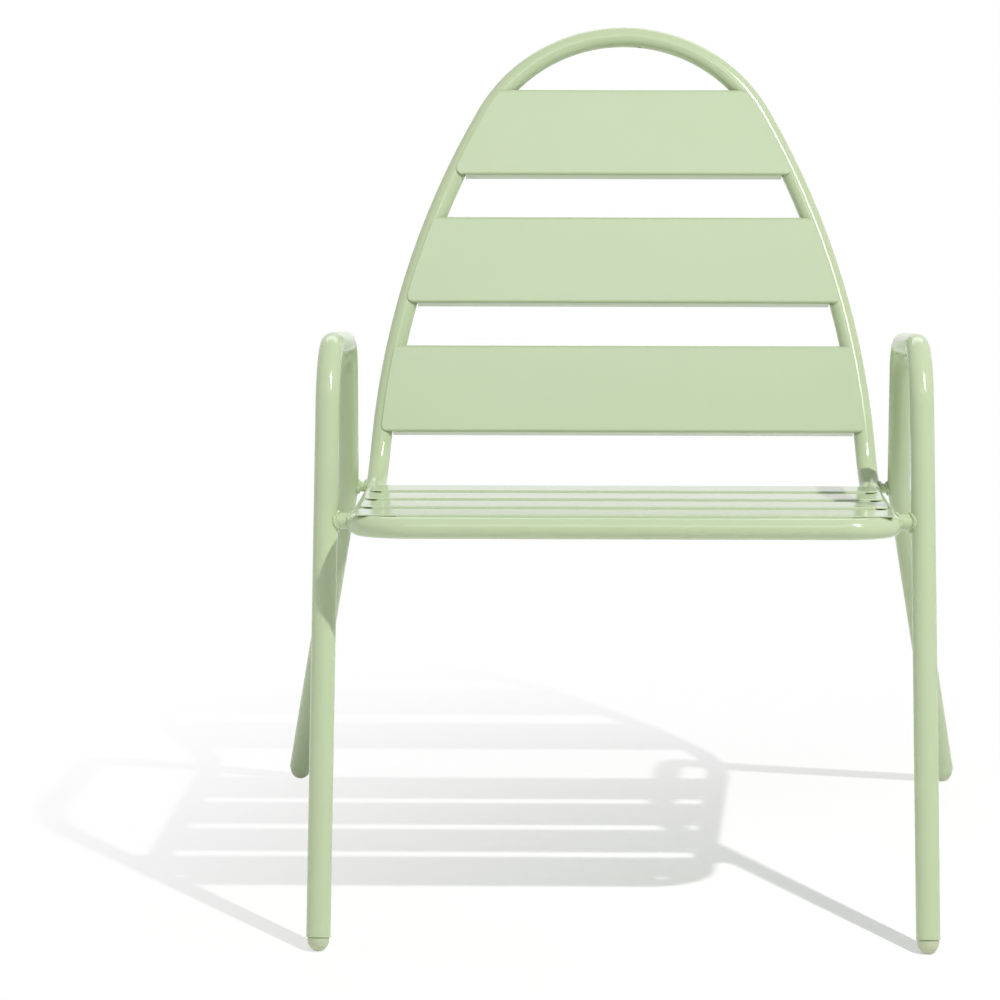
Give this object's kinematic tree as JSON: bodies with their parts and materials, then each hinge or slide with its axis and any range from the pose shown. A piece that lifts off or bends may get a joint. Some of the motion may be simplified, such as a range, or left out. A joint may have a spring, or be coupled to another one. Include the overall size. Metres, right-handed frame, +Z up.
{
  "type": "metal lawn chair",
  "caption": "Low tubular steel garden armchair with an arched back, folded sheet slats for seat and back, and A-shaped leg frames that carry the arms.",
  "frame": {"origin": "on the floor, under the middle of the chair's bounding box", "axes": "+X to the sitter's left, which is the right-hand side seen from the front, +Y from the front of the seat to the back, +Z up"},
  "size_m": [0.7524, 0.731, 0.848],
  "materials": {
    "painted_tube": "semi-gloss pale green powder coat",
    "painted_sheet": "semi-gloss pale green powder coat",
    "glide": "satin, moulded in the same green"
  },
  "bodies": {
    "root": {"seat_back_loop": "painted_tube", "right_leg_frame": "painted_tube", "left_leg_frame": "painted_tube", "front_right_spacer": "painted_tube", "front_left_spacer": "painted_tube", "front_spacer_welds": "painted_tube", "rear_right_spacer": "painted_tube", "rear_left_spacer": "painted_tube", "rear_spacer_welds": "painted_tube", "front_glides": "glide", "rear_glides": "glide", "seat_slat_front": "painted_sheet", "seat_slat_second": "painted_sheet", "seat_slat_third": "painted_sheet", "seat_slat_rear": "painted_sheet", "back_slat_bottom": "painted_sheet", "back_slat_middle": "painted_sheet", "back_slat_top": "painted_sheet", "seat_slat_welds": "painted_sheet", "back_slat_welds": "painted_sheet"}
  },
  "joints": []
}
